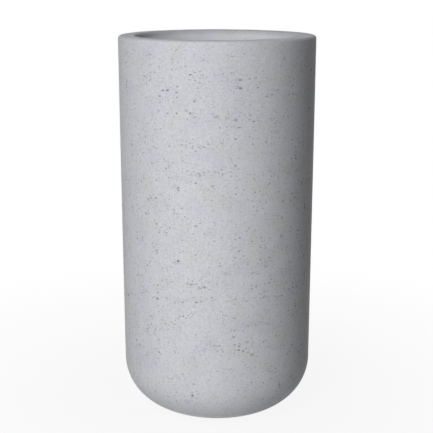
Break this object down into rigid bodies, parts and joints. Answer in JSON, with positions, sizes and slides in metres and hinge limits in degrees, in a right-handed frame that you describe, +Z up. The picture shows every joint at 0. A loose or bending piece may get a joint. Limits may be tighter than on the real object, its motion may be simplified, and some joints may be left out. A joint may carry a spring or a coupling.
{
  "type": "planter",
  "caption": "Tall round planter cast in terrazzo, with a straight side, a rounded base, a flat rim and a plugged drain in its floor.",
  "frame": {"origin": "on the ground, under the centre of the pot", "axes": "+Z up along the pot's axis, +X towards the first foot pad, -Y towards the front of the picture"},
  "size_m": [0.3799, 0.38, 0.75],
  "materials": {
    "terrazzo": "honed, matt",
    "sleeve_plastic": "moulded, matt",
    "plug_rubber": "moulded, matt",
    "pad_rubber": "moulded, matt"
  },
  "bodies": {
    "pot": {"planter_shell": "terrazzo", "drain_sleeve": "sleeve_plastic", "foot_pad_1": "pad_rubber", "foot_pad_2": "pad_rubber", "foot_pad_3": "pad_rubber", "foot_pad_4": "pad_rubber", "foot_pad_5": "pad_rubber", "foot_pad_6": "pad_rubber"},
    "plug": {"drain_plug": "plug_rubber"}
  },
  "joints": [
    {"name": "plug_lift", "type": "slide", "parent": "pot", "child": "plug", "axis": [0, 0, 1], "range_m": [0, 0.05]}
  ]
}
